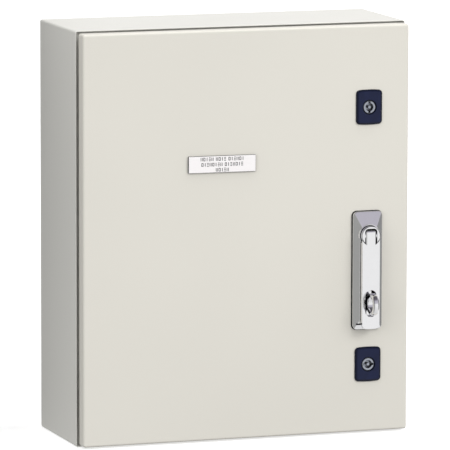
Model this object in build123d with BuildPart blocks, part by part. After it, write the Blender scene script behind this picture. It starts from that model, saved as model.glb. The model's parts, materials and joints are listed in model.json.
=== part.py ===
from build123d import *
import math
import os

# Sheet-steel wall enclosure for a main switch: body, hinged door with two
# quarter-turn locks and a padlockable swing handle, label, mounting plate
# and gland plate.
# Frame: millimetres, +X to the right, +Y towards the wall, +Z up.
# Origin: centre of the four wall holes, on the outside of the back panel.

# ---------------------------------------------------------------- dimensions
W, H = 500.0, 600.0            # outside width and height
T = 1.5                        # sheet thickness
BODY_D = 174.0                 # depth of the body's side walls
FLANGE_D = 164.0               # wall to the front flange, the floor of the gutter
DEPTH = 200.0                  # depth over the door
BEND = 3.0                     # outside bend radius
LIP_IN = 18.5                  # outside of the body to the outside of the sealing lip
LIP_END = 188.0                # lip edge, from the wall
DOOR_GAP = 3.0                 # door is this much smaller on every side
DOOR_PAN = 20.0                # depth of the folded door edge
GASKET_W, GASKET_Y = 10.0, 188.3

WALL_X, WALL_Z, WALL_R = 225.0, 275.0, 4.5     # wall holes
PLATE_W, PLATE_H, PLATE_T, PLATE_Y = 420.0, 520.0, 2.5, 15.0
STUD_X, STUD_Z = 190.0, 240.0                   # mounting plate studs

GLAND_Y = -87.0                                 # centre line of the gland opening
GLAND_W, GLAND_D = 240.0, 80.0                  # gland opening
GPLATE_W, GPLATE_D, GPLATE_T, GGASKET_T = 280.0, 120.0, 2.0, 2.0
GSTUD_X, GSTUD_Y = 128.0, 50.0                  # gland stud spacing, half

PIN_X, PIN_Y, PIN_R = -242.0, -186.0, 2.0       # hinge axis
HINGE_Z = 215.0                                 # hinge height above and below the middle

QT_X = 185.3                                    # centre line of the two quarter-turn locks
UPPER_Z, LOWER_Z = 178.5, -197.7
HOUSE_W, HOUSE_H, HOUSE_Y = 39.6, 51.0, 204.0   # lock housing front plate
CAM_Y0, CAM_T, CAM_L, CAM_W = 158.9, 3.0, 57.0, 16.0

LOCK_X, HUB_Z = 183.0, -7.0                     # centre of the handle's hub
BASE_TOP, BASE_BOTTOM, BASE_W = 27.0, -145.6, 45.0
BASE_BACK, BASE_BED = 201.0, 211.0              # base casting: back, and bed under the lever, from the wall
EDGE_Y, SLOPE = 204.4, 0.765                    # side facets: height at the outside, slope
ROOF_TOP, ROOF_SLOPE = 205.2, 0.355             # top facet: height at the top end, slope
HUB_R, COLLAR_R, COLLAR_Y = 14.2, 16.0, 213.3
LEVER_W, LEVER_BOTTOM, LEVER_FACE, LEVER_BACK = 26.7, -143.4, 220.0, 213.6
TONGUE_W, TONGUE_TOP = 18.2, 8.4
PIVOT_Y, PIVOT_R = -213.5, 1.75
EYE_Z, EYE_Y, EYE_R, EYE_HOLE, EYE_W = -106.0, -228.0, 16.3, 10.6, 9.6

LABEL_X, LABEL_Z, LABEL_W, LABEL_H, LABEL_T = -39.2, 104.8, 101.8, 24.2, 3.2
LABEL_TILT = -0.3                               # degrees, the label sits slightly askew

os.makedirs("parts", exist_ok=True)

# a plane whose normal points out of the door (towards -Y), x to the right,
# at a given distance from the wall, centred at x, z
def front(dist, x=0.0, z=0.0):
    return Plane(origin=(x, -dist, z), x_dir=(1, 0, 0), z_dir=(0, -1, 0))


# a plane looking up (+Z) at height z, centred at x, y
def level(z, x=0.0, y=0.0):
    return Plane(origin=(x, y, z), x_dir=(1, 0, 0), z_dir=(0, 0, 1))


# a plane whose normal is +X, sketch x = Y and sketch y = Z
def side(x, y=0.0, z=0.0):
    return Plane(origin=(x, y, z), x_dir=(0, 1, 0), z_dir=(1, 0, 0))


def save(part, name):
    part.label = name
    export_step(part, "parts/" + name + ".step")


# ---------------------------------------------------------------- body shell
# one folded and welded shell: back, four sides, a gutter round the front and
# the sealing lip that stands up from its floor
with BuildPart() as enclosure_body:
    with BuildSketch(front(0)):
        RectangleRounded(W, H, BEND)
    extrude(amount=BODY_D)
    fillet(enclosure_body.faces().sort_by(Axis.Y)[-1].edges(), BEND - 0.1)
    # gutter between the side walls and the lip
    with BuildSketch(front(FLANGE_D)):
        RectangleRounded(W - 2 * T, H - 2 * T, BEND - T)
    extrude(amount=BODY_D - FLANGE_D + 1, mode=Mode.SUBTRACT)
    fillet(enclosure_body.faces().sort_by(Axis.Y)[0].edges(), 0.7)
    # sealing lip round the opening
    with BuildSketch(front(FLANGE_D - 1)):
        RectangleRounded(W - 2 * LIP_IN, H - 2 * LIP_IN, 8)
    extrude(amount=LIP_END - FLANGE_D + 1)
    # hollow
    with BuildSketch(front(T)):
        RectangleRounded(W - 2 * T, H - 2 * T, BEND - T)
    extrude(amount=FLANGE_D - 2 * T, mode=Mode.SUBTRACT)
    # opening through flange and lip
    with BuildSketch(front(FLANGE_D - 10)):
        RectangleRounded(W - 2 * LIP_IN - 2 * T, H - 2 * LIP_IN - 2 * T, 6.5)
    extrude(amount=LIP_END - FLANGE_D + 12, mode=Mode.SUBTRACT)
    # four wall holes
    with BuildSketch(front(-1)):
        with GridLocations(2 * WALL_X, 2 * WALL_Z, 2, 2):
            Circle(WALL_R)
    extrude(amount=T + 2, mode=Mode.SUBTRACT)
    # gland opening in the bottom
    with BuildSketch(level(-H / 2 - 1, 0, GLAND_Y)):
        RectangleRounded(GLAND_W, GLAND_D, 6)
    extrude(amount=T + 2, mode=Mode.SUBTRACT)
    # clearance holes for the hinge screws through the left lip
    with BuildSketch(side(-W / 2 + LIP_IN - 1)):
        with Locations(*[(-182.0, s * HINGE_Z + d) for s in (1, -1) for d in (-13.5, 13.5)]):
            Circle(2.0)
    extrude(amount=T + 2, mode=Mode.SUBTRACT)
save(enclosure_body.part, "enclosure_body")

# ---------------------------------------------------------------- mounting plate
with BuildPart() as mounting_plate:
    with BuildSketch(front(PLATE_Y)):
        RectangleRounded(PLATE_W, PLATE_H, 4)
        with GridLocations(2 * STUD_X, 2 * STUD_Z, 2, 2):
            Circle(4.5, mode=Mode.SUBTRACT)
    extrude(amount=PLATE_T)
    # folded stiffening edges along both long sides
    with BuildSketch(front(PLATE_Y + PLATE_T)):
        with GridLocations(PLATE_W - 2.5, 1, 2, 1):
            Rectangle(2.5, PLATE_H - 30)
    extrude(amount=10)
save(mounting_plate.part, "mounting_plate")

# welded shoulder studs that hold the plate off the back panel
with BuildPart() as mounting_studs:
    with BuildSketch(front(T)):
        with GridLocations(2 * STUD_X, 2 * STUD_Z, 2, 2):
            Circle(7)
    extrude(amount=PLATE_Y - T)
    with BuildSketch(front(PLATE_Y)):
        with GridLocations(2 * STUD_X, 2 * STUD_Z, 2, 2):
            Circle(4)
    extrude(amount=20)
save(mounting_studs.part, "mounting_studs")

with BuildPart() as mounting_plate_washers:
    with BuildSketch(front(PLATE_Y + PLATE_T)):
        with GridLocations(2 * STUD_X, 2 * STUD_Z, 2, 2):
            Circle(8.5)
            Circle(4.2, mode=Mode.SUBTRACT)
    extrude(amount=1.6)
save(mounting_plate_washers.part, "mounting_plate_washers")

with BuildPart() as mounting_plate_nuts:
    with BuildSketch(front(PLATE_Y + PLATE_T + 1.6)):
        with GridLocations(2 * STUD_X, 2 * STUD_Z, 2, 2):
            RegularPolygon(6.5, 6, major_radius=False)
            Circle(4, mode=Mode.SUBTRACT)
    extrude(amount=6.5)
save(mounting_plate_nuts.part, "mounting_plate_nuts")

# ---------------------------------------------------------------- gland plate
ZB = -H / 2 + T                      # inside of the bottom
with BuildPart() as gland_plate_gasket:
    with BuildSketch(level(ZB, 0, GLAND_Y)):
        RectangleRounded(GPLATE_W, GPLATE_D, 8)
        RectangleRounded(GLAND_W, GLAND_D, 6, mode=Mode.SUBTRACT)
        with GridLocations(GSTUD_X, 2 * GSTUD_Y, 3, 2):
            Circle(3.2, mode=Mode.SUBTRACT)
    extrude(amount=GGASKET_T)
save(gland_plate_gasket.part, "gland_plate_gasket")

with BuildPart() as gland_plate:
    with BuildSketch(level(ZB + GGASKET_T, 0, GLAND_Y)):
        RectangleRounded(GPLATE_W, GPLATE_D, 8)
        with GridLocations(GSTUD_X, 2 * GSTUD_Y, 3, 2):
            Circle(3.2, mode=Mode.SUBTRACT)
    extrude(amount=GPLATE_T)
save(gland_plate.part, "gland_plate")

with BuildPart() as gland_plate_studs:
    with BuildSketch(level(ZB, 0, GLAND_Y)):
        with GridLocations(GSTUD_X, 2 * GSTUD_Y, 3, 2):
            Circle(3)
    extrude(amount=14)
save(gland_plate_studs.part, "gland_plate_studs")

with BuildPart() as gland_plate_nuts:
    with BuildSketch(level(ZB + GGASKET_T + GPLATE_T, 0, GLAND_Y)):
        with GridLocations(GSTUD_X, 2 * GSTUD_Y, 3, 2):
            Circle(6.5)
            Circle(3, mode=Mode.SUBTRACT)
    extrude(amount=1.2)
    with BuildSketch(level(ZB + GGASKET_T + GPLATE_T + 1.2, 0, GLAND_Y)):
        with GridLocations(GSTUD_X, 2 * GSTUD_Y, 3, 2):
            RegularPolygon(5, 6, major_radius=False)
            Circle(3, mode=Mode.SUBTRACT)
    extrude(amount=4.8)
save(gland_plate_nuts.part, "gland_plate_nuts")

# ---------------------------------------------------------------- earth studs
with BuildPart() as body_earth_stud:
    with BuildSketch(side(-W / 2 + T, -30, -265)):
        Circle(6.5)
    extrude(amount=3)
    with BuildSketch(side(-W / 2 + T + 3, -30, -265)):
        Circle(4)
    extrude(amount=20)
save(body_earth_stud.part, "body_earth_stud")

with BuildPart() as body_earth_nut:
    with BuildSketch(side(-W / 2 + T + 3, -30, -265)):
        Circle(8)
        Circle(4, mode=Mode.SUBTRACT)
    extrude(amount=1.6)
    with BuildSketch(side(-W / 2 + T + 4.6, -30, -265)):
        RegularPolygon(6.5, 6, major_radius=False)
        Circle(4, mode=Mode.SUBTRACT)
    extrude(amount=6.5)
save(body_earth_nut.part, "body_earth_nut")

YD = DEPTH - T                        # inside face of the door
with BuildPart() as door_earth_stud:
    with BuildSketch(front(YD, -195, -255)):
        Circle(5.5)
    extrude(amount=-2.5)
    with BuildSketch(front(YD - 2.5, -195, -255)):
        Circle(3)
    extrude(amount=-16)
save(door_earth_stud.part, "door_earth_stud")

with BuildPart() as door_earth_nut:
    with BuildSketch(front(YD - 2.5, -195, -255)):
        Circle(6.2)
        Circle(3, mode=Mode.SUBTRACT)
    extrude(amount=-1.2)
    with BuildSketch(front(YD - 3.7, -195, -255)):
        RegularPolygon(5, 6, major_radius=False)
        Circle(3, mode=Mode.SUBTRACT)
    extrude(amount=-5)
save(door_earth_nut.part, "door_earth_nut")

# ---------------------------------------------------------------- hinges
# Body leaf: plate on the outside of the left lip, an arm and two rolled
# knuckles. Door leaf: plate welded inside the door's edge, one knuckle.
LIP_X = -W / 2 + LIP_IN               # outside face of the left lip
RIM_X = -W / 2 + DOOR_GAP + T         # inside face of the door's left edge
for tag, zc in (("upper", HINGE_Z), ("lower", -HINGE_Z)):
    with BuildPart() as hinge_body_leaf:
        with BuildSketch(level(zc - 20)):
            with Locations((LIP_X - 0.75, -181.95)):
                Rectangle(1.5, 11.9)
        extrude(amount=40)
        with BuildSketch(level(zc - 20)):
            with Locations((PIN_X, PIN_Y)):
                Circle(3.2)
            with Locations(((PIN_X + LIP_X - 0.75) / 2, PIN_Y - 1.15)):
                Rectangle(LIP_X - 0.75 - PIN_X, 1.5)
            with Locations((PIN_X, PIN_Y)):
                Circle(PIN_R, mode=Mode.SUBTRACT)
        extrude(amount=13)
        with BuildSketch(level(zc + 7)):
            with Locations((PIN_X, PIN_Y)):
                Circle(3.2)
            with Locations(((PIN_X + LIP_X - 0.75) / 2, PIN_Y - 1.15)):
                Rectangle(LIP_X - 0.75 - PIN_X, 1.5)
            with Locations((PIN_X, PIN_Y)):
                Circle(PIN_R, mode=Mode.SUBTRACT)
        extrude(amount=13)
        with BuildSketch(side(LIP_X - 2)):
            with Locations((-182.0, zc - 13.5), (-182.0, zc + 13.5)):
                Circle(2.0)
        extrude(amount=3, mode=Mode.SUBTRACT)
    save(hinge_body_leaf.part, "hinge_body_leaf_" + tag)

    with BuildPart() as hinge_door_leaf:
        with BuildSketch(level(zc - 20)):
            with Locations((RIM_X + 0.75, -193.5)):
                Rectangle(1.5, 7)
        extrude(amount=40)
        with BuildSketch(level(zc - 6.5)):
            with Locations((RIM_X + 0.75, -189.5)):
                Rectangle(1.5, 7)
            with Locations((PIN_X, PIN_Y)):
                Circle(3.5)
            with Locations((PIN_X, PIN_Y)):
                Circle(PIN_R + 0.05, mode=Mode.SUBTRACT)
        extrude(amount=13)
    save(hinge_door_leaf.part, "hinge_door_leaf_" + tag)

    with BuildPart() as hinge_pin:
        with BuildSketch(level(zc - 21)):
            with Locations((PIN_X, PIN_Y)):
                Circle(PIN_R)
        extrude(amount=41)
        with BuildSketch(level(zc + 20)):
            with Locations((PIN_X, PIN_Y)):
                Circle(3.1)
        extrude(amount=1.6)
        fillet(hinge_pin.edges().group_by(Axis.Z)[-1], 0.6)
    save(hinge_pin.part, "hinge_pin_" + tag)

with BuildPart() as hinge_screws:
    spots = [(-182.0, s * HINGE_Z + d) for s in (1, -1) for d in (-13.5, 13.5)]
    with BuildSketch(side(LIP_X - 1.5)):
        with Locations(*spots):
            Circle(2.0)
    extrude(amount=3.0)
    with BuildSketch(side(LIP_X + 1.5)):
        with Locations(*spots):
            Circle(3.8)
    extrude(amount=2.2)
    fillet(hinge_screws.edges().group_by(Axis.X)[-1], 0.9)
    with BuildSketch(side(LIP_X + 3.7)):
        with Locations(*spots):
            Rectangle(0.9, 4.4)
            Rectangle(4.4, 0.9)
    extrude(amount=-1.2, mode=Mode.SUBTRACT)
save(hinge_screws.part, "hinge_screws")

# ---------------------------------------------------------------- door
with BuildPart() as door_panel:
    with BuildSketch(front(DEPTH - DOOR_PAN)):
        RectangleRounded(W - 2 * DOOR_GAP, H - 2 * DOOR_GAP, 3.5)
    extrude(amount=DOOR_PAN)
    fillet(door_panel.faces().sort_by(Axis.Y)[0].edges(), 3.2)
    with BuildSketch(front(DEPTH - DOOR_PAN)):
        RectangleRounded(W - 2 * DOOR_GAP - 2 * T, H - 2 * DOOR_GAP - 2 * T, 2)
    extrude(amount=DOOR_PAN - T, mode=Mode.SUBTRACT)
    # lock holes
    with BuildSketch(front(DEPTH - 5)):
        with Locations((QT_X, UPPER_Z), (QT_X, LOWER_Z)):
            Circle(11.5)
    extrude(amount=10, mode=Mode.SUBTRACT)
    # handle: spindle hole and two screw holes
    with BuildSketch(front(DEPTH - 5)):
        with Locations((LOCK_X, HUB_Z)):
            Circle(11)
        with Locations((LOCK_X, 19), (LOCK_X, -137)):
            Circle(2.7)
    extrude(amount=10, mode=Mode.SUBTRACT)
save(door_panel.part, "door_panel")

with BuildPart() as door_gasket:
    with BuildSketch(front(GASKET_Y)):
        RectangleRounded(W - 2 * LIP_IN - T + GASKET_W, H - 2 * LIP_IN - T + GASKET_W, 9)
        RectangleRounded(W - 2 * LIP_IN - T - GASKET_W, H - 2 * LIP_IN - T - GASKET_W, 5, mode=Mode.SUBTRACT)
    extrude(amount=YD - GASKET_Y)
    fillet(door_gasket.edges().group_by(Axis.Y)[-1], 2.5)
save(door_gasket.part, "door_gasket")

# label: engraving laminate with three rows of plain marks cut into its core
MARKS = (
    (7.5, (5, 4, 6)),
    (-0.3, (8, 7)),
    (-8.0, (5,)),
)
with BuildPart() as label_plate:
    tilt = math.radians(LABEL_TILT)
    label_plane = Plane(origin=(LABEL_X, -DEPTH, LABEL_Z), x_dir=(math.cos(tilt), 0, math.sin(tilt)), z_dir=(0, -1, 0))
    with BuildSketch(label_plane):
        RectangleRounded(LABEL_W, LABEL_H, 0.8)
    extrude(amount=LABEL_T)
    chamfer(label_plate.faces().sort_by(Axis.Y)[0].edges(), 0.5)
    with BuildSketch(label_plane.offset(LABEL_T)):
        for row, groups in MARKS:
            width = sum(groups) * 4.1 + (len(groups) - 1) * 2.6
            x, turn = -width / 2 + 2.05, 0
            for count in groups:
                for k in range(count):
                    kind = (turn * 5 + k * 3 + count) % 4
                    if kind == 0:                       # open rectangle
                        with Locations((x, row)):
                            Rectangle(3.1, 5.0)
                            Rectangle(1.3, 3.2, mode=Mode.SUBTRACT)
                    elif kind == 1:                     # two uprights
                        with Locations((x - 1.05, row), (x + 1.05, row)):
                            Rectangle(0.95, 5.0)
                    elif kind == 2:                     # three level bars
                        with Locations((x, row + 2.1), (x, row), (x, row - 2.1)):
                            Rectangle(3.0, 0.95)
                    else:                               # one upright
                        with Locations((x, row)):
                            Rectangle(1.0, 5.0)
                    x += 4.1
                x += 2.6
                turn += 1
    extrude(amount=-0.8, mode=Mode.SUBTRACT)
save(label_plate.part, "label_plate")

# ---------------------------------------------------------------- quarter-turn locks
for tag, zc, cam_up, notch_up in (("upper", UPPER_Z, -1, True), ("lower", LOWER_Z, 1, False)):
    # housing: arched rectangular plate, round recess, threaded neck behind
    with BuildPart() as lock_housing:
        with BuildSketch(front(DEPTH, QT_X, zc)) as outline:
            with BuildLine():
                a, b, k = HOUSE_W / 2, HOUSE_H / 2, 1.1
                Line((-a, -b + k), (-a, b - k))
                ThreePointArc((-a, b - k), (0, b), (a, b - k))
                Line((a, b - k), (a, -b + k))
                ThreePointArc((a, -b + k), (0, -b), (-a, -b + k))
            make_face()
            fillet(outline.vertices(), 5.5)
        extrude(amount=HOUSE_Y - DEPTH)
        face = lock_housing.faces().sort_by(Axis.Y)[0]
        chamfer(face.edges(), 3.4, 2.3, reference=face)
        # neck through the door
        with BuildSketch(front(DEPTH, QT_X, zc)):
            Circle(11.2)
        extrude(amount=-20)
        # round recess around the barrel, then the stepped bore
        with BuildSketch(front(HOUSE_Y, QT_X, zc)):
            Circle(10.9)
        extrude(amount=-2.2, mode=Mode.SUBTRACT)
        with BuildSketch(front(HOUSE_Y, QT_X, zc)):
            Circle(9.3)
        extrude(amount=-13, mode=Mode.SUBTRACT)
        with BuildSketch(front(HOUSE_Y, QT_X, zc)):
            Circle(7.05)
        extrude(amount=-40, mode=Mode.SUBTRACT)
    save(lock_housing.part, tag + "_lock_housing")

    with BuildPart() as lock_nut:
        with BuildSketch(front(YD, QT_X, zc)):
            RegularPolygon(14.5, 6, major_radius=False)
            Circle(11.2, mode=Mode.SUBTRACT)
        extrude(amount=-4.5)
    save(lock_nut.part, tag + "_lock_nut")

    # barrel: ring with two notches and a centre pin, shaft with a square end
    with BuildPart() as lock_barrel:
        with BuildSketch(front(191.2, QT_X, zc)):
            Circle(9.22)
        extrude(amount=HOUSE_Y - 1.0 - 191.2)
        chamfer(lock_barrel.edges().sort_by(Axis.Y)[0], 0.6)
        with BuildSketch(front(HOUSE_Y - 1.0, QT_X, zc)):
            Circle(6.1)
            if notch_up:
                Rectangle(3.4, 16.8)
            else:
                Rectangle(16.8, 3.4)
            Circle(2.0, mode=Mode.SUBTRACT)
        extrude(amount=-9.5, mode=Mode.SUBTRACT)
        with BuildSketch(front(191.2, QT_X, zc)):
            Circle(7.0)
        extrude(amount=-(191.2 - CAM_Y0 - CAM_T))
        with BuildSketch(front(CAM_Y0 + CAM_T, QT_X, zc)):
            Rectangle(8, 8)
        extrude(amount=-CAM_T)
        with BuildSketch(front(CAM_Y0, QT_X, zc)):
            Circle(2.5)
        extrude(amount=12, mode=Mode.SUBTRACT)
    save(lock_barrel.part, tag + "_lock_barrel")

    # cam: flat tongue with a round end and a square hole
    with BuildPart() as lock_cam:
        with BuildSketch(front(CAM_Y0, QT_X, zc)):
            Circle(11)
            with Locations((0, cam_up * (CAM_L - CAM_W / 2) / 2)):
                Rectangle(CAM_W, CAM_L - CAM_W / 2)
            with Locations((0, cam_up * (CAM_L - CAM_W / 2))):
                Circle(CAM_W / 2)
            Rectangle(8, 8, mode=Mode.SUBTRACT)
        extrude(amount=CAM_T)
    save(lock_cam.part, tag + "_lock_cam")

    with BuildPart() as lock_cam_screw:
        with BuildSketch(front(CAM_Y0, QT_X, zc)):
            Circle(8)
        extrude(amount=-1.2)
        with BuildSketch(front(CAM_Y0 - 1.2, QT_X, zc)):
            RegularPolygon(4, 6, major_radius=False)
        extrude(amount=-3.5)
        with BuildSketch(front(CAM_Y0, QT_X, zc)):
            Circle(2.5)
        extrude(amount=10)
    save(lock_cam_screw.part, tag + "_lock_cam_screw")

# ---------------------------------------------------------------- handle base
BZ = (BASE_TOP + BASE_BOTTOM) / 2
BH = BASE_TOP - BASE_BOTTOM
SCREW_Z = (19.0, -137.0)              # the two base screws
with BuildPart() as handle_base_gasket:
    with BuildSketch(front(DEPTH, LOCK_X, BZ)):
        RectangleRounded(BASE_W + 1.8, BH + 1.8, 7.4)
        with Locations((0, HUB_Z - BZ)):
            Circle(11, mode=Mode.SUBTRACT)
        with Locations((0, SCREW_Z[0] - BZ), (0, SCREW_Z[1] - BZ)):
            Circle(2.7, mode=Mode.SUBTRACT)
    extrude(amount=BASE_BACK - DEPTH)
save(handle_base_gasket.part, "handle_base_gasket")

# casting: a low outer wall, long side facets and a sloping top facet that meet
# in two hips and rise to a collar round the hub, a flat bed under the lever and
# a rounded foot
with BuildPart() as handle_base:
    with BuildSketch(front(BASE_BACK, LOCK_X, BZ)):
        RectangleRounded(BASE_W, BH, 6.5)
    extrude(amount=COLLAR_Y + 2.7 - BASE_BACK)
    # side facets, carried on inwards past the bed
    for s in (-1, 1):
        with BuildSketch(level(BASE_BOTTOM - 1)):
            with BuildLine():
                x0 = LOCK_X + s * (BASE_W / 2 + 0.5)
                Polyline((x0, -EDGE_Y + 0.5 * SLOPE), (LOCK_X, -EDGE_Y - BASE_W / 2 * SLOPE),
                         (LOCK_X, -COLLAR_Y - 12), (x0, -COLLAR_Y - 12), close=True)
            make_face()
        extrude(amount=BH + 2, mode=Mode.SUBTRACT)
    # top facet
    with BuildSketch(side(LOCK_X - BASE_W / 2 - 1)):
        with BuildLine():
            Polyline((-ROOF_TOP + 1, BASE_TOP + 1 / ROOF_SLOPE), (-ROOF_TOP - 36 * ROOF_SLOPE, BASE_TOP - 36),
                     (-COLLAR_Y - 12, BASE_TOP - 36), (-COLLAR_Y - 12, BASE_TOP + 1 / ROOF_SLOPE), close=True)
        make_face()
    extrude(amount=BASE_W + 2, mode=Mode.SUBTRACT)
    # flat bed under the lever
    with BuildSketch(front(BASE_BED, LOCK_X, HUB_Z)):
        with Locations((0, -100)):
            Rectangle(BASE_W + 2, 200)
    extrude(amount=20, mode=Mode.SUBTRACT)
    # foot facet
    with BuildSketch(side(LOCK_X - BASE_W / 2 - 1)):
        with BuildLine():
            Polyline((-205.2, BASE_BOTTOM), (-BASE_BED, BASE_BOTTOM + 14), (-BASE_BED - 10, BASE_BOTTOM + 14),
                     (-BASE_BED - 10, BASE_BOTTOM - 1), (-205.2, BASE_BOTTOM - 1), close=True)
        make_face()
    extrude(amount=BASE_W + 2, mode=Mode.SUBTRACT)
    # soft corners along hips, ridges and round the outside
    soften = [e for e in handle_base.edges() if e.center().Y < -203.5 and e.length > 4]
    fillet(soften, 1.3)
    # the roof ends flush with the collar
    with BuildSketch(front(COLLAR_Y, LOCK_X, HUB_Z)):
        Rectangle(BASE_W + 2, 2 * BASE_TOP + 40)
    extrude(amount=10, mode=Mode.SUBTRACT)
    # collar
    with BuildSketch(front(BASE_BACK + 1, LOCK_X, HUB_Z)):
        Circle(COLLAR_R)
    extrude(amount=COLLAR_Y - BASE_BACK - 1)
    # groove across the left side of the foot
    with BuildSketch(front(BASE_BACK + 1.6, LOCK_X, -137.3)):
        with Locations((-14.2, 0)):
            Rectangle(8.2, 2.5)
    extrude(amount=12, mode=Mode.SUBTRACT)
    # hollow underside below the hub
    with BuildSketch(front(BASE_BACK, LOCK_X, -78)):
        Rectangle(BASE_W - 10, 98)
    extrude(amount=3.4, mode=Mode.SUBTRACT)
    with BuildSketch(front(BASE_BACK + 3.3, LOCK_X, -78)):
        Rectangle(BASE_W - 22, 98)
    extrude(amount=3.4, mode=Mode.SUBTRACT)
    # hub seat with a groove round its mouth, and the spindle bore
    with BuildSketch(front(BASE_BACK + 3, LOCK_X, HUB_Z)):
        Circle(HUB_R + 0.08)
    extrude(amount=16, mode=Mode.SUBTRACT)
    with BuildSketch(front(COLLAR_Y - 3, LOCK_X, HUB_Z)):
        Circle(HUB_R + 0.8)
    extrude(amount=6, mode=Mode.SUBTRACT)
    with BuildSketch(front(BASE_BACK, LOCK_X, HUB_Z)):
        Circle(8.06)
    extrude(amount=4, mode=Mode.SUBTRACT)
    # blind threaded holes for the base screws
    with BuildSketch(front(BASE_BACK, LOCK_X, 0)):
        with Locations((0, SCREW_Z[0]), (0, SCREW_Z[1])):
            Circle(2.5)
    extrude(amount=4, mode=Mode.SUBTRACT)
    # opening round the padlock eye, and the post that carries the eye
    with BuildSketch(front(BASE_BACK - 1, LOCK_X, EYE_Z)):
        SlotOverall(44, 21, rotation=90)
        Rectangle(EYE_W - 2, 60, mode=Mode.SUBTRACT)
    extrude(amount=14, mode=Mode.SUBTRACT)
    with BuildSketch(front(BASE_BED - 5.5, LOCK_X, EYE_Z)):
        Rectangle(EYE_W - 2, 20)
    extrude(amount=8, mode=Mode.SUBTRACT)
save(handle_base.part, "handle_base")

# padlock eye: a rounded ring on a foot, standing through the lever
with BuildPart() as padlock_eye:
    with BuildSketch(side(LOCK_X - EYE_W / 2, EYE_Y, EYE_Z)):
        Circle(EYE_R)
        Circle(EYE_HOLE, mode=Mode.SUBTRACT)
    extrude(amount=EYE_W)
    fillet(padlock_eye.edges().filter_by(GeomType.CIRCLE).sort_by(SortBy.RADIUS)[:2], 1.5)
    fillet(padlock_eye.edges().filter_by(GeomType.CIRCLE).sort_by(SortBy.RADIUS)[-2:], 3.4)
    with BuildSketch(front(BASE_BED - 5.5, LOCK_X, EYE_Z)):
        Rectangle(EYE_W - 2, 20)
    extrude(amount=9)
save(padlock_eye.part, "padlock_eye")

# screws from inside the door, and the plate that spreads their load
with BuildPart() as handle_clamp_plate:
    with BuildSketch(front(YD, LOCK_X, BZ)):
        RectangleRounded(30, BH - 3, 4)
        with Locations((0, HUB_Z - BZ)):
            Circle(10.5, mode=Mode.SUBTRACT)
        with Locations((0, SCREW_Z[0] - BZ), (0, SCREW_Z[1] - BZ)):
            Circle(2.7, mode=Mode.SUBTRACT)
    extrude(amount=-2)
save(handle_clamp_plate.part, "handle_clamp_plate")

with BuildPart() as handle_base_screws:
    with BuildSketch(front(YD - 2, LOCK_X, 0)):
        with Locations((0, SCREW_Z[0]), (0, SCREW_Z[1])):
            Circle(2.5)
    extrude(amount=BASE_BACK + 4 - YD + 2)
    with BuildSketch(front(YD - 2, LOCK_X, 0)):
        with Locations((0, SCREW_Z[0]), (0, SCREW_Z[1])):
            RegularPolygon(4, 6, major_radius=False)
    extrude(amount=-3.5)
save(handle_base_screws.part, "handle_base_screws")

# ---------------------------------------------------------------- handle hub
SLOT_TOP, SLOT_FLOOR = 10.4, 207.4
with BuildPart() as handle_hub:
    with BuildSketch(front(BASE_BACK + 3.05, LOCK_X, HUB_Z)):
        Circle(HUB_R)
    extrude(amount=LEVER_FACE - 0.5 - BASE_BACK - 3.05)
    chamfer(handle_hub.edges().sort_by(Axis.Y)[0], 0.9)
    # spindle: round through the door, square at its end
    with BuildSketch(front(BASE_BACK + 3.05, LOCK_X, HUB_Z)):
        Circle(8)
    extrude(amount=-(BASE_BACK + 3.05 - 186))
    with BuildSketch(front(186, LOCK_X, HUB_Z)):
        Rectangle(9, 9)
    extrude(amount=-(186 - CAM_Y0))
    # fork slot, open downwards
    with BuildSketch(front(SLOT_FLOOR, LOCK_X, HUB_Z)) as slot:
        with Locations((0, (SLOT_TOP - 20) / 2)):
            Rectangle(TONGUE_W + 0.5, SLOT_TOP + 20)
        fillet(slot.vertices().group_by(Axis.Y)[-1], 5.0)
    extrude(amount=14, mode=Mode.SUBTRACT)
    # pin hole
    with BuildSketch(side(LOCK_X - 20, PIVOT_Y, HUB_Z)):
        Circle(PIVOT_R)
    extrude(amount=40, mode=Mode.SUBTRACT)
    # tapped hole in the end of the spindle
    with BuildSketch(front(CAM_Y0, LOCK_X, HUB_Z)):
        Circle(3)
    extrude(amount=14, mode=Mode.SUBTRACT)
save(handle_hub.part, "handle_hub")

with BuildPart() as lever_pin:
    with BuildSketch(side(LOCK_X - 13.7, PIVOT_Y, HUB_Z)):
        Circle(PIVOT_R)
    extrude(amount=27.4)
save(lever_pin.part, "lever_pin")

with BuildPart() as handle_cam:
    with BuildSketch(front(CAM_Y0, LOCK_X, HUB_Z)):
        Circle(12)
        with Locations((0, (CAM_L - 10) / 2)):
            Rectangle(20, CAM_L - 10)
        with Locations((0, CAM_L - 10)):
            Circle(10)
        Rectangle(9, 9, mode=Mode.SUBTRACT)
    extrude(amount=CAM_T)
save(handle_cam.part, "handle_cam")

with BuildPart() as handle_cam_screw:
    with BuildSketch(front(CAM_Y0, LOCK_X, HUB_Z)):
        Circle(9)
    extrude(amount=-1.5)
    with BuildSketch(front(CAM_Y0 - 1.5, LOCK_X, HUB_Z)):
        RegularPolygon(5, 6, major_radius=False)
    extrude(amount=-4)
    with BuildSketch(front(CAM_Y0, LOCK_X, HUB_Z)):
        Circle(3)
    extrude(amount=12)
save(handle_cam_screw.part, "handle_cam_screw")

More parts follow.
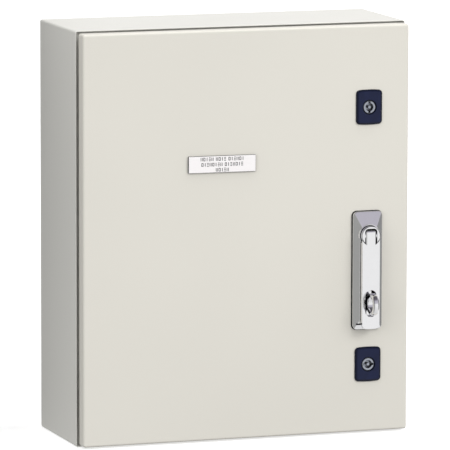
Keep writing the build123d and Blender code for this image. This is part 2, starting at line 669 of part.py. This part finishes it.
# ---------------------------------------------------------------- lever
LH = HUB_Z - LEVER_BOTTOM             # hub centre to the lever's end
with BuildPart() as handle_lever:
    # wide part, below the hub
    with BuildSketch(front(LEVER_BACK, LOCK_X, HUB_Z)) as wide:
        with BuildLine():
            w = LEVER_W / 2
            Line((-w, 0), (-w, -LH + 0.9))
            ThreePointArc((-w, -LH + 0.9), (0, -LH), (w, -LH + 0.9))
            Line((w, -LH + 0.9), (w, 0))
            Line((w, 0), (-w, 0))
        make_face()
        fillet(wide.vertices().group_by(Axis.Y)[0], 6.5)
    extrude(amount=LEVER_FACE - LEVER_BACK)
    # concave shoulder that clears the hub, wider at the back
    with BuildSketch(front(LEVER_FACE, LOCK_X, HUB_Z)):
        Circle(HUB_R + 0.4)
    extrude(amount=-(LEVER_FACE - LEVER_BACK), taper=-24, mode=Mode.SUBTRACT)
    # tongue in the fork
    with BuildSketch(front(LEVER_BACK, LOCK_X, HUB_Z)) as neck:
        with Locations((0, (TONGUE_TOP - 24) / 2)):
            Rectangle(TONGUE_W, TONGUE_TOP + 24)
        fillet(neck.vertices().group_by(Axis.Y)[-1], 4.0)
    extrude(amount=LEVER_FACE - LEVER_BACK)
    fillet(handle_lever.edges().filter_by(Axis.X).group_by(Axis.Z)[-1].sort_by(Axis.Y)[0], 4)
    # round boss on the pin
    with BuildSketch(side(LOCK_X - TONGUE_W / 2, PIVOT_Y, HUB_Z)):
        Circle(5.6)
    extrude(amount=TONGUE_W)
    with BuildSketch(side(LOCK_X - 20, PIVOT_Y, HUB_Z)):
        Circle(PIVOT_R + 0.05)
    extrude(amount=40, mode=Mode.SUBTRACT)
    # window for the padlock eye
    with BuildSketch(front(LEVER_BACK - 1, LOCK_X, EYE_Z)):
        SlotOverall(39.4, 17.2, rotation=90)
    extrude(amount=10, mode=Mode.SUBTRACT)
    # hollow back, leaving a rim and a boss round the window
    with BuildSketch(front(LEVER_BACK, LOCK_X, -48)):
        RectangleRounded(LEVER_W - 8, 44, 3)
    extrude(amount=3, mode=Mode.SUBTRACT)
save(handle_lever.part, "handle_lever")
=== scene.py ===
import json
import math

import bmesh
import bpy
from mathutils import Matrix, Vector

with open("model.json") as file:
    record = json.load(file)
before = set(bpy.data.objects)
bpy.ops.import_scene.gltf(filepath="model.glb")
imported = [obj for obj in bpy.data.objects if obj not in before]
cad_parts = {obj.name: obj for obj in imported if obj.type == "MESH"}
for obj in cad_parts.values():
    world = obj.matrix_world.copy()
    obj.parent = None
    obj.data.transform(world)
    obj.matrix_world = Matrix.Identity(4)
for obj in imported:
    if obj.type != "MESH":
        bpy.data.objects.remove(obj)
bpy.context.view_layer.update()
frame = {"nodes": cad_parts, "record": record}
nodes = frame["nodes"]
scene = bpy.context.scene
MM = 0.001

# ------------------------------------------------------------------ helpers


class Tree:
    """A small helper that builds a material's node tree."""

    def __init__(self, name):
        self.mat = bpy.data.materials.new(name)
        self.mat.use_nodes = True
        self.t = self.mat.node_tree
        self.t.nodes.clear()
        self.out = self.t.nodes.new("ShaderNodeOutputMaterial")
        self.bsdf = self.t.nodes.new("ShaderNodeBsdfPrincipled")
        self.t.links.new(self.bsdf.outputs[0], self.out.inputs[0])
        self.co = self.t.nodes.new("ShaderNodeTexCoord").outputs["Object"]

    def link(self, a, b):
        self.t.links.new(a, b)

    def noise(self, scale, detail=3.0, rough=0.5, co=None, dim="3D", dist=0.0):
        n = self.t.nodes.new("ShaderNodeTexNoise")
        n.noise_dimensions = dim
        n.inputs["Scale"].default_value = scale
        n.inputs["Detail"].default_value = detail
        n.inputs["Roughness"].default_value = rough
        n.inputs["Distortion"].default_value = dist
        self.link(co or self.co, n.inputs["Vector"])
        return n.outputs["Fac"]

    def voronoi(self, scale, feature="F1", co=None, out="Distance"):
        n = self.t.nodes.new("ShaderNodeTexVoronoi")
        n.feature = feature
        n.inputs["Scale"].default_value = scale
        self.link(co or self.co, n.inputs["Vector"])
        return n.outputs[out]

    def ramp(self, fac, stops):
        n = self.t.nodes.new("ShaderNodeValToRGB")
        e = n.color_ramp.elements
        while len(e) < len(stops):
            e.new(0.5)
        for el, (p, c) in zip(e, stops):
            el.position = p
            el.color = (c, c, c, 1) if isinstance(c, (int, float)) else (*c, 1)
        self.link(fac, n.inputs[0])
        return n.outputs[0]

    def range(self, v, a, b, c, d):
        n = self.t.nodes.new("ShaderNodeMapRange")
        for i, x in zip((1, 2, 3, 4), (a, b, c, d)):
            n.inputs[i].default_value = x
        self.link(v, n.inputs[0])
        return n.outputs[0]

    def math(self, op, a, b=None, clamp=False):
        n = self.t.nodes.new("ShaderNodeMath")
        n.operation = op
        n.use_clamp = clamp
        for i, x in enumerate((a, b)):
            if x is None:
                continue
            if isinstance(x, (int, float)):
                n.inputs[i].default_value = x
            else:
                self.link(x, n.inputs[i])
        return n.outputs[0]

    def mix(self, fac, a, b):
        n = self.t.nodes.new("ShaderNodeMix")
        n.data_type = "RGBA"
        for sock, x in ((n.inputs[0], fac), (n.inputs[6], a), (n.inputs[7], b)):
            if isinstance(x, (int, float)):
                sock.default_value = x
            elif isinstance(x, tuple):
                sock.default_value = (*x, 1)
            else:
                self.link(x, sock)
        return n.outputs[2]

    def xyz(self, co=None):
        n = self.t.nodes.new("ShaderNodeSeparateXYZ")
        self.link(co or self.co, n.inputs[0])
        return n.outputs

    def scaled(self, sx, sy, sz):
        n = self.t.nodes.new("ShaderNodeMapping")
        n.inputs["Scale"].default_value = (sx, sy, sz)
        self.link(self.co, n.inputs["Vector"])
        return n.outputs[0]

    def bump(self, height, distance, strength=1.0, normal=None):
        n = self.t.nodes.new("ShaderNodeBump")
        n.inputs["Strength"].default_value = strength
        n.inputs["Distance"].default_value = distance
        self.link(height, n.inputs["Height"])
        if normal is not None:
            self.link(normal, n.inputs["Normal"])
        return n.outputs[0]

    def crevice(self, distance):
        """0 in tight gaps and corners, 1 on open faces."""
        n = self.t.nodes.new("ShaderNodeAmbientOcclusion")
        n.samples = 8
        n.inputs["Distance"].default_value = distance
        return n.outputs["AO"]

    def set(self, **kw):
        names = {
            "base": "Base Color", "metal": "Metallic", "rough": "Roughness", "normal": "Normal",
            "spec": "Specular IOR Level", "coat": "Coat Weight", "coat_rough": "Coat Roughness",
            "aniso": "Anisotropic", "ior": "IOR", "glow": "Emission Color", "glow_k": "Emission Strength",
        }
        for k, v in kw.items():
            s = self.bsdf.inputs[names[k]]
            if isinstance(v, (int, float)):
                s.default_value = v
            elif isinstance(v, tuple):
                s.default_value = (*v, 1)
            else:
                self.link(v, s)
        return self.mat


def lin(r, g, b):
    """sRGB 0-255 to linear."""
    f = lambda c: c / 12.92 if c <= 0.04045 else ((c + 0.055) / 1.055) ** 2.4
    return tuple(f(c / 255) for c in (r, g, b))


def dim(c, k):
    return tuple(min(1.0, x * k) for x in c)


# ------------------------------------------------------------------ materials


def powder_coat(name, base):
    """Fine-textured powder coat: slight orange peel, fine grain, faint colour drift."""
    m = Tree(name)
    drift = m.noise(2.2, 2.0)
    grain = m.noise(1500, 2.0, 0.6)
    peel = m.noise(420, 2.0, 0.45)
    tone = m.range(m.math("ADD", m.math("MULTIPLY", drift, 0.7), m.math("MULTIPLY", grain, 0.3)), 0.3, 0.7, 0.0, 1.0)
    colour = m.mix(tone, dim(base, 0.965), dim(base, 1.03))
    n1 = m.bump(peel, 0.00016, 0.55)
    n2 = m.bump(grain, 0.00003, 0.5, n1)
    rough = m.range(peel, 0.3, 0.7, 0.46, 0.58)
    return m.set(base=colour, rough=rough, normal=n2, spec=0.42)


def chrome(name, tint=(0.90, 0.90, 0.91)):
    """Polished chrome plate over a casting: faint waviness, polishing marks, painted shade darkening the gaps, which
    are also rougher.
    """
    m = Tree(name)
    wave = m.noise(46, 2.0, 0.4)
    fine = m.noise(900, 2.0, 0.5)
    smear = m.noise(70, 4.0, 0.6)
    rough = m.range(smear, 0.35, 0.75, 0.055, 0.125)
    n1 = m.bump(wave, 0.00055, 0.28)
    n2 = m.bump(fine, 0.00001, 0.3, n1)
    clean = m.mix(m.range(smear, 0.3, 0.8, 0.0, 1.0), dim(tint, 0.97), tint)
    # painted shade: an ambient-occlusion mask darkens the colour towards near black in tight gaps and corners (and
    # raises the roughness there)
    open_face = m.range(m.crevice(0.006), 0.30, 0.74, 0.0, 1.0)
    colour = m.mix(open_face, (0.012, 0.012, 0.013), clean)
    return m.set(base=colour, metal=1.0, rough=m.math("ADD", rough, m.range(open_face, 0.0, 1.0, 0.35, 0.0)), normal=n2)


def zinc_sheet(name, base):
    """Electroplated sheet: cloudy spangle and rolling lines."""
    m = Tree(name)
    cell = m.voronoi(160, "F1", out="Color")
    cloud = m.noise(30, 4.0, 0.6)
    roll = m.noise(900, 2.0, 0.5, m.scaled(1.0, 1.0, 0.05))
    g = m.ramp(m.math("ADD", m.math("MULTIPLY", cloud, 0.7), m.math("MULTIPLY", roll, 0.3)), [(0.3, dim(base, 0.86)), (0.7, dim(base, 1.05))])
    colour = m.mix(0.10, g, cell)
    rough = m.range(cloud, 0.3, 0.7, 0.30, 0.44)
    return m.set(base=colour, metal=1.0, rough=rough, normal=m.bump(roll, 0.00003, 0.5))


def plated_steel(name, base, axis_scale=(1, 1, 1)):
    """Zinc-plated fasteners: turned lines and slight tarnish."""
    m = Tree(name)
    tarnish = m.noise(220, 4.0, 0.6)
    lines = m.noise(2600, 1.0, 0.5, m.scaled(*axis_scale))
    colour = m.mix(m.range(tarnish, 0.3, 0.75, 0.0, 1.0), base, dim(base, 0.8))
    rough = m.range(tarnish, 0.3, 0.7, 0.24, 0.40)
    return m.set(base=colour, metal=1.0, rough=rough, normal=m.bump(lines, 0.00002, 0.5))


def cast_zinc(name, base, mouth_y, floor_y):
    """Satin casting; painted shade darkens the socket between its mouth and its floor."""
    m = Tree(name)
    skin = m.noise(1300, 3.0, 0.6)
    cloud = m.noise(160, 3.0, 0.6)
    clean = m.mix(m.range(cloud, 0.3, 0.7, 0.0, 1.0), dim(base, 0.88), dim(base, 1.06))
    y = m.xyz()[1]
    # painted shade: the colour goes towards black with depth into the socket, from its mouth to its floor
    painted_socket_shade = m.math("MULTIPLY", m.range(y, mouth_y, floor_y, 0.0, 1.0), m.math("LESS_THAN", y, floor_y + 0.0065))
    colour = m.mix(painted_socket_shade, clean, (0.012, 0.012, 0.014))
    rough = m.range(cloud, 0.3, 0.7, 0.26, 0.40)
    return m.set(base=colour, metal=0.9, rough=rough, normal=m.bump(skin, 0.00003, 0.6))


def moulded(name, base, face_y, rough0=0.30, rough1=0.42):
    """Glass-filled moulding: fine eroded texture on the face, painted shade round its bevel, faint flow marks."""
    m = Tree(name)
    skin = m.noise(2200, 2.0, 0.6)
    flow = m.noise(90, 3.0, 0.5, m.scaled(1.0, 1.0, 0.4))
    face = m.mix(m.range(flow, 0.3, 0.7, 0.0, 1.0), dim(base, 0.85), dim(base, 1.2))
    # painted shade: everything behind the face plane, on the bevel, is coloured much darker than the face
    colour = m.mix(m.range(m.xyz()[1], face_y, face_y + 0.0012, 0.0, 1.0), face, dim(base, 0.45))
    rough = m.range(m.math("ADD", m.math("MULTIPLY", flow, 0.6), m.math("MULTIPLY", skin, 0.4)), 0.35, 0.65, rough0, rough1)
    return m.set(base=colour, rough=rough, normal=m.bump(skin, 0.00003, 0.6), spec=0.22)


def rubber(name, base, pore=700, depth=0.00008):
    m = Tree(name)
    pores = m.voronoi(pore)
    cloud = m.noise(120, 3.0)
    colour = m.mix(m.range(cloud, 0.3, 0.7, 0.0, 1.0), dim(base, 0.8), dim(base, 1.25))
    return m.set(base=colour, rough=m.range(cloud, 0.3, 0.7, 0.68, 0.86), normal=m.bump(pores, depth, 0.6), spec=0.3)


def laminate(name, face_y):
    """Two-layer engraving laminate: white skin over a black core that shows at the cut edge."""
    m = Tree(name)
    y = m.xyz()[1]
    core = m.math("GREATER_THAN", y, face_y)
    grain = m.noise(1800, 2.0, 0.6)
    white = m.mix(m.range(grain, 0.3, 0.7, 0.0, 1.0), lin(240, 237, 237), lin(247, 244, 244))
    black = m.mix(m.range(grain, 0.3, 0.7, 0.0, 1.0), (0.010, 0.010, 0.011), (0.022, 0.022, 0.024))
    colour = m.mix(core, white, black)
    return m.set(base=colour, rough=m.range(grain, 0.3, 0.7, 0.32, 0.42), normal=m.bump(grain, 0.00002, 0.4), spec=0.45)


DOOR_PAINT = lin(219, 216, 207)
BODY_PAINT = lin(219, 218, 212)
M = {
    "body_paint": powder_coat("body_powder_coat", BODY_PAINT),
    "door_paint": powder_coat("door_powder_coat", DOOR_PAINT),
    "zinc_plate": zinc_sheet("zinc_plated_sheet", (0.62, 0.63, 0.64)),
    "fastener": plated_steel("zinc_plated_fasteners", (0.66, 0.67, 0.68)),
    "seal_foam": rubber("foam_seal", (0.030, 0.030, 0.032), 900, 0.0001),
    "flat_seal": rubber("flat_rubber_seal", (0.012, 0.012, 0.013)),
    "chrome": chrome("polished_chrome"),
    "housing_plastic": moulded("blue_black_moulding", (0.0085, 0.0125, 0.042), -0.2039, 0.34, 0.46),
    "zinc_casting": cast_zinc("satin_zinc_casting", (0.40, 0.425, 0.48), -0.2026, -0.2000),
    "label_laminate": laminate("engraving_laminate", -0.20306),
}
for part in frame["record"]["subparts"]:
    o = nodes[part["node"]]
    o.data.materials.clear()
    o.data.materials.append(M[part["material_slot"]])

# ------------------------------------------------------------------ camera
YAW, PITCH, ROLL = math.radians(18.97), math.radians(8.15), math.radians(0.117)
FOCAL_PX, SCALE = 5295.0, 0.6967e3       # pixels; pixels per metre at the door
fw = Vector((math.sin(YAW) * math.cos(PITCH), math.cos(YAW) * math.cos(PITCH), -math.sin(PITCH)))
aim = Vector((-0.0339, -0.2, 0.0160))
cam_data = bpy.data.cameras.new("camera")
cam = bpy.data.objects.new("camera", cam_data)
scene.collection.objects.link(cam)
cam_data.sensor_width = 36.0
cam_data.lens = FOCAL_PX / 450.0 * 36.0
cam.location = aim - fw * (FOCAL_PX / SCALE)
cam.rotation_mode = "QUATERNION"
cam.rotation_quaternion = fw.to_track_quat("-Z", "Y") @ Matrix.Rotation(ROLL, 3, "Z").to_quaternion()
cam_data.clip_start, cam_data.clip_end = 0.05, 60.0
scene.camera = cam

# ------------------------------------------------------------------ floor and light
floor_mesh = bpy.data.meshes.new("studio_floor")
floor_mesh.from_pydata([(-6, -6, -0.3), (6, -6, -0.3), (6, 6, -0.3), (-6, 6, -0.3)], [], [(0, 1, 2, 3)])
floor = bpy.data.objects.new("studio_floor", floor_mesh)
scene.collection.objects.link(floor)
ft = Tree("pale_floor")
speck = ft.noise(6, 3.0)
white = ft.mix(ft.range(speck, 0.3, 0.7, 0.0, 1.0), (0.84, 0.84, 0.84), (0.87, 0.87, 0.87))
floor_mesh.materials.append(ft.set(base=white, rough=0.75, spec=0.1, glow=white, glow_k=0.6))
floor.visible_glossy = False
floor.visible_diffuse = False

# a dark card beside and behind the left side, out of the camera's sight: it shades
# the side towards its rear edge
card_mesh = bpy.data.meshes.new("shade_card")
card_mesh.from_pydata([(-0.80, 0.012, -0.3), (-0.254, 0.012, -0.3), (-0.254, 0.012, 0.42), (-0.80, 0.012, 0.42)], [], [(0, 1, 2, 3)])
card = bpy.data.objects.new("shade_card", card_mesh)
scene.collection.objects.link(card)
ct = Tree("dark_card")
card_mesh.materials.append(ct.set(base=ct.mix(ct.noise(40, 2.0), (0.05, 0.05, 0.05), (0.07, 0.07, 0.07)), rough=0.9, spec=0.1))
card.visible_camera = False
card.visible_glossy = False

world = bpy.data.worlds.new("studio")
scene.world = world
world.use_nodes = True
wt = world.node_tree
wt.nodes.clear()


def wnode(kind, **props):
    n = wt.nodes.new(kind)
    for k, v in props.items():
        setattr(n, k, v)
    return n


def background(colour, strength):
    n = wnode("ShaderNodeBackground")
    if isinstance(colour, tuple):
        n.inputs[0].default_value = (*colour, 1)
    else:
        wt.links.new(colour, n.inputs[0])
    n.inputs[1].default_value = strength
    return n.outputs[0]


def wmath(op, a, b, clamp=False):
    n = wnode("ShaderNodeMath", operation=op, use_clamp=clamp)
    for i, x in enumerate((a, b)):
        if isinstance(x, (int, float)):
            n.inputs[i].default_value = x
        else:
            wt.links.new(x, n.inputs[i])
    return n.outputs[0]


def wramp(fac, stops):
    n = wnode("ShaderNodeValToRGB")
    els = n.color_ramp.elements
    while len(els) < len(stops):
        els.new(0.5)
    for el, (p, v) in zip(els, stops):
        el.position = p
        el.color = (v, v, v, 1) if isinstance(v, (int, float)) else (*v, 1)
    wt.links.new(fac, n.inputs[0])
    return n.outputs[0]


def wmix(fac, a, b, blend="MIX"):
    n = wnode("ShaderNodeMix", data_type="RGBA", blend_type=blend)
    for sock, x in ((n.inputs[0], fac), (n.inputs[6], a), (n.inputs[7], b)):
        if isinstance(x, (int, float)):
            sock.default_value = x
        elif isinstance(x, tuple):
            sock.default_value = (*x, 1)
        else:
            wt.links.new(x, sock)
    return n.outputs[2]


# the studio round the object, seen only in reflections: grey walls at the left,
# a pale card in front, dark to the right, a grey-lilac ceiling panel and a dark top
wco = wnode("ShaderNodeTexCoord")
sep = wnode("ShaderNodeSeparateXYZ")
wt.links.new(wco.outputs["Generated"], sep.inputs[0])
x01 = wmath("MULTIPLY_ADD", sep.outputs[0], 0.5)
x01.node.inputs[2].default_value = 0.5
z01 = wmath("MULTIPLY_ADD", sep.outputs[2], 0.5)
z01.node.inputs[2].default_value = 0.5
around = wramp(x01, [(0.0, (0.34, 0.34, 0.33)), (0.10, (0.36, 0.36, 0.35)), (0.30, (0.62, 0.62, 0.62)), (0.50, (0.92, 0.92, 0.92)),
                     (0.76, (0.92, 0.92, 0.92)), (0.91, (1.0, 1.0, 1.0)), (0.945, (0.02, 0.02, 0.02)), (0.978, (0.02, 0.02, 0.02)), (0.992, (0.29, 0.29, 0.29))])
above = wramp(z01, [(0.0, (0.80, 0.80, 0.80)), (0.42, (1.0, 1.0, 1.0)), (0.56, (1.0, 1.0, 1.0)), (0.66, (0.62, 0.60, 0.66)),
                    (0.82, (0.50, 0.48, 0.55)), (0.90, (0.16, 0.15, 0.17)), (1.0, (0.10, 0.10, 0.11))])
mirror = background(wmix(1.0, around, above, "MULTIPLY"), 1.0)
# soft even light on everything matt
wash_x = wramp(x01, [(0.0, 0.94), (0.35, 0.88), (0.75, 0.95), (1.0, 0.80)])
wash_z = wramp(z01, [(0.0, 0.30), (0.40, 0.55), (0.55, 0.95), (1.0, 1.0)])
wash = background(wmix(1.0, wash_x, wash_z, "MULTIPLY"), 1.05)
seen = background((1.0, 1.0, 1.0), 1.0)
path = wnode("ShaderNodeLightPath")
glossy = wnode("ShaderNodeMixShader")
wt.links.new(path.outputs["Is Glossy Ray"], glossy.inputs[0])
wt.links.new(wash, glossy.inputs[1])
wt.links.new(mirror, glossy.inputs[2])
choose = wnode("ShaderNodeMixShader")
wt.links.new(path.outputs["Is Camera Ray"], choose.inputs[0])
wt.links.new(glossy.outputs[0], choose.inputs[1])
wt.links.new(seen, choose.inputs[2])
wout = wnode("ShaderNodeOutputWorld")
wt.links.new(choose.outputs[0], wout.inputs[0])


def area(name, loc, target, size, power, colour=(1, 1, 1)):
    d = bpy.data.lights.new(name, "AREA")
    d.shape = "RECTANGLE"
    d.size, d.size_y = size
    d.energy = power
    d.color = colour
    o = bpy.data.objects.new(name, d)
    o.location = loc
    o.rotation_mode = "QUATERNION"
    o.rotation_quaternion = (Vector(target) - Vector(loc)).to_track_quat("-Z", "Y")
    o.visible_glossy = False
    scene.collection.objects.link(o)
    return o


area("key_softbox", (1.9, -3.0, 1.9), (0, -0.1, 0), (1.6, 1.6), 52)
area("fill_softbox", (-2.6, -2.2, 0.8), (0, -0.1, 0), (1.8, 1.8), 19)
area("top_softbox", (0.0, -0.4, 2.6), (0, -0.1, 0), (2.0, 1.6), 17)

scene.view_settings.view_transform = "Standard"
scene.view_settings.look = "None"
